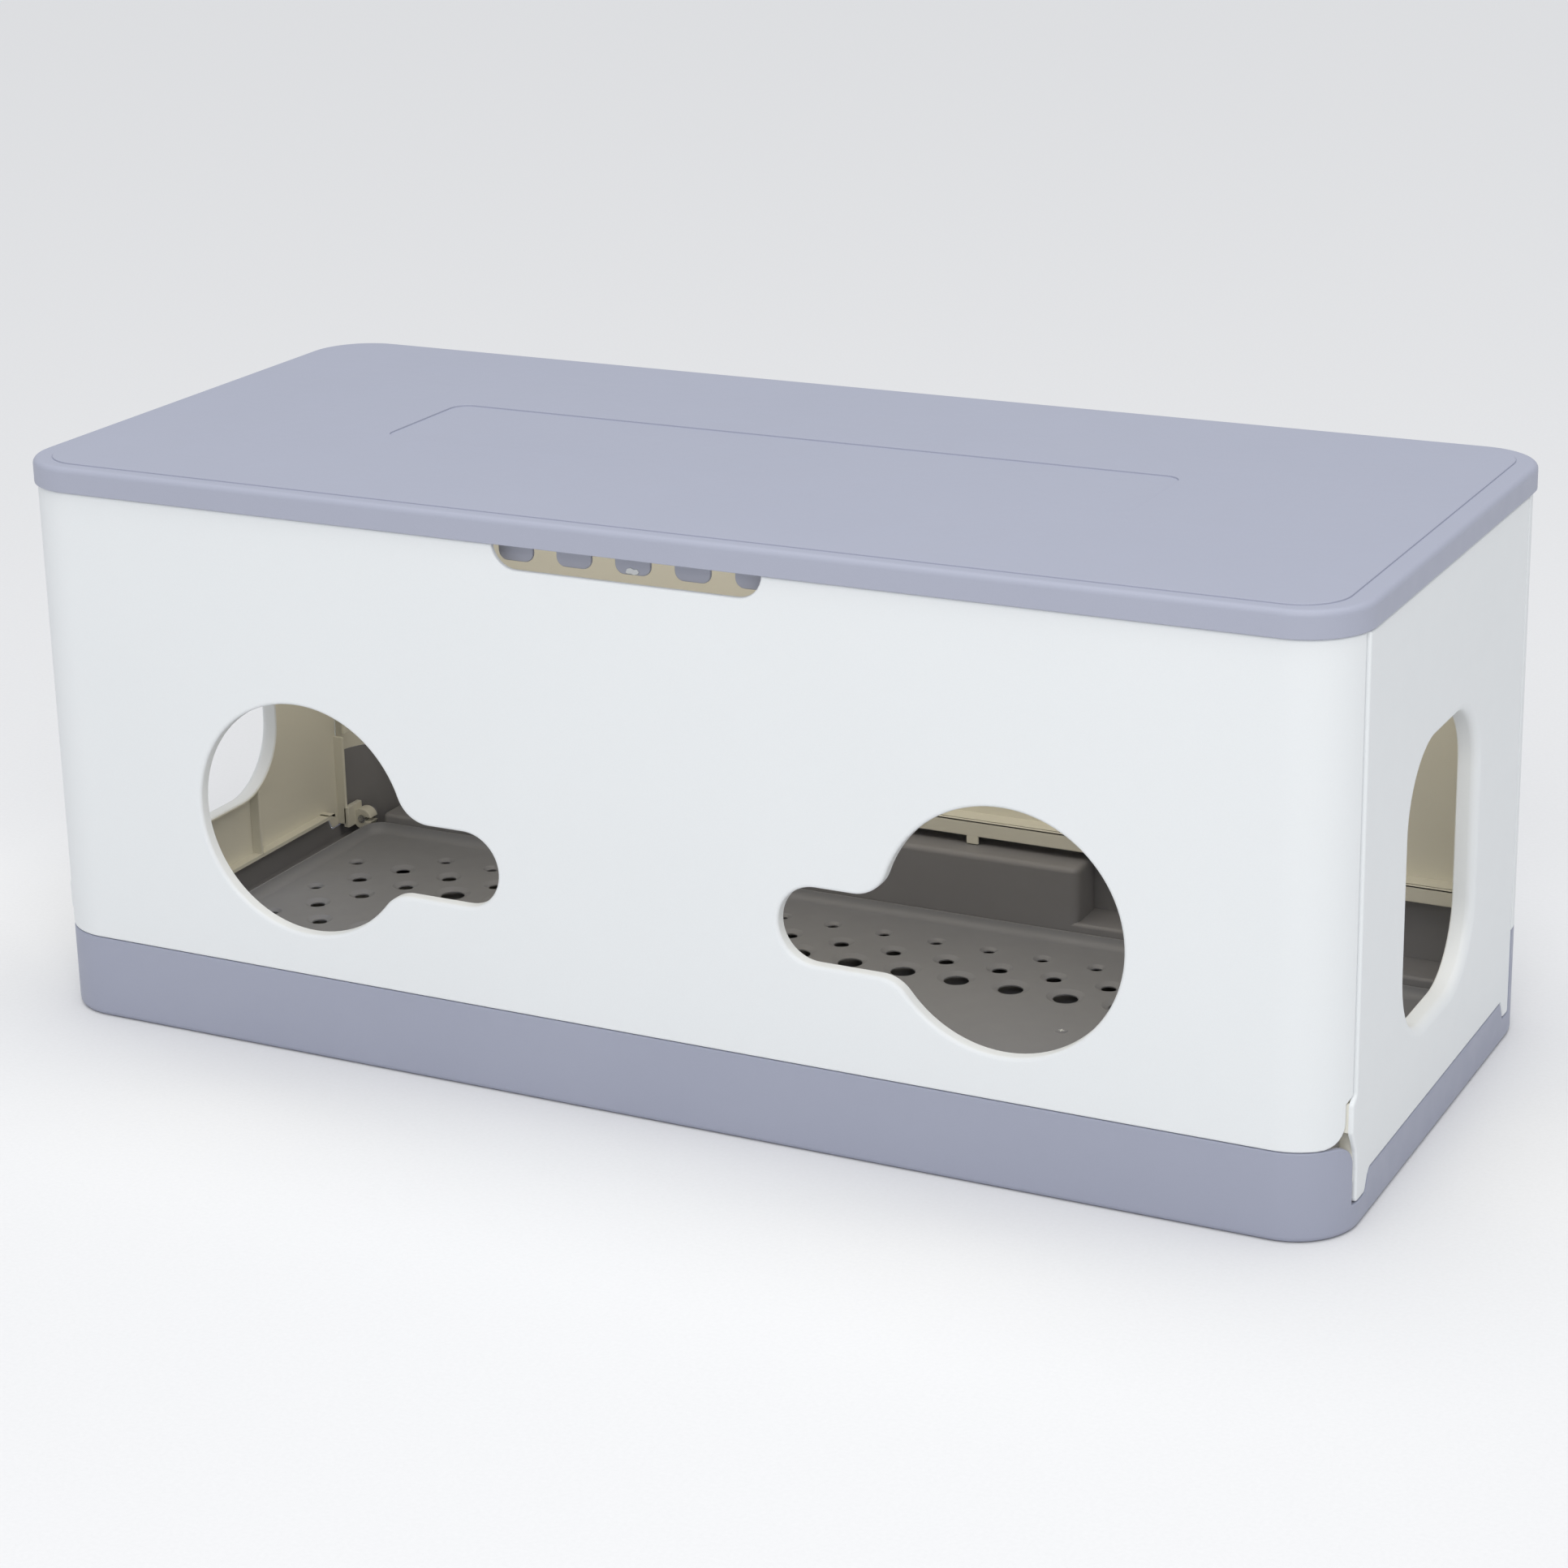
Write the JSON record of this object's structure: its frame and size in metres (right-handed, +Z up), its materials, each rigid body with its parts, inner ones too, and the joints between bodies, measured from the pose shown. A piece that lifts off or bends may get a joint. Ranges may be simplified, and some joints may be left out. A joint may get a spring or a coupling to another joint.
{
  "type": "cat litter box with hood",
  "caption": "Long foldable litter box: grey tray with a lift-out sieve, white hinged wall panels with cat entrances and cut-outs, and a flip-up grey lid.",
  "frame": {"origin": "centre of the lid's outline, on the floor", "axes": "+X along the width, to the right seen from the front; -Y is the front; +Z up"},
  "size_m": [0.9, 0.3956, 0.3786],
  "materials": {
    "grey_plastic": "satin moulded polypropylene",
    "grey_sieve": "satin moulded polypropylene",
    "grey_lid": "fine matt texture",
    "white_plastic": "satin moulded polypropylene",
    "pin_metal": "plain bright"
  },
  "bodies": {
    "base": {"base_tray": "grey_plastic", "front_panel": "white_plastic", "rear_panel": "white_plastic", "left_front_side_pin": "pin_metal", "left_rear_side_pin": "pin_metal", "right_front_side_pin": "pin_metal", "right_rear_side_pin": "pin_metal", "front_panel_pin_left": "pin_metal", "front_panel_pin_middle": "pin_metal", "front_panel_pin_right": "pin_metal", "rear_panel_pin_left": "pin_metal", "rear_panel_pin_right": "pin_metal", "lid_pin_left": "pin_metal", "lid_pin_middle": "pin_metal", "lid_pin_right": "pin_metal"},
    "lid": {"lid": "grey_lid"},
    "left_side": {"left_side_panel": "white_plastic"},
    "right_side": {"right_side_panel": "white_plastic"},
    "sieve": {"sieve_plate": "grey_sieve"}
  },
  "joints": [
    {"name": "lid_hinge", "type": "hinge", "parent": "base", "child": "lid", "pos_m": [0, 0.194, 0.3633], "axis": [-1, 0, 0], "range_deg": [0, 100]},
    {"name": "left_side_fold", "type": "hinge", "parent": "base", "child": "left_side", "pos_m": [-0.431, 0, 0.021], "axis": [0, 1, 0], "range_deg": [0, 90]},
    {"name": "right_side_fold", "type": "hinge", "parent": "base", "child": "right_side", "pos_m": [0.431, 0, 0.021], "axis": [0, -1, 0], "range_deg": [0, 90]},
    {"name": "sieve_lift", "type": "slide", "parent": "base", "child": "sieve", "axis": [0, 0, 1], "range_m": [0, 0.08]}
  ]
}
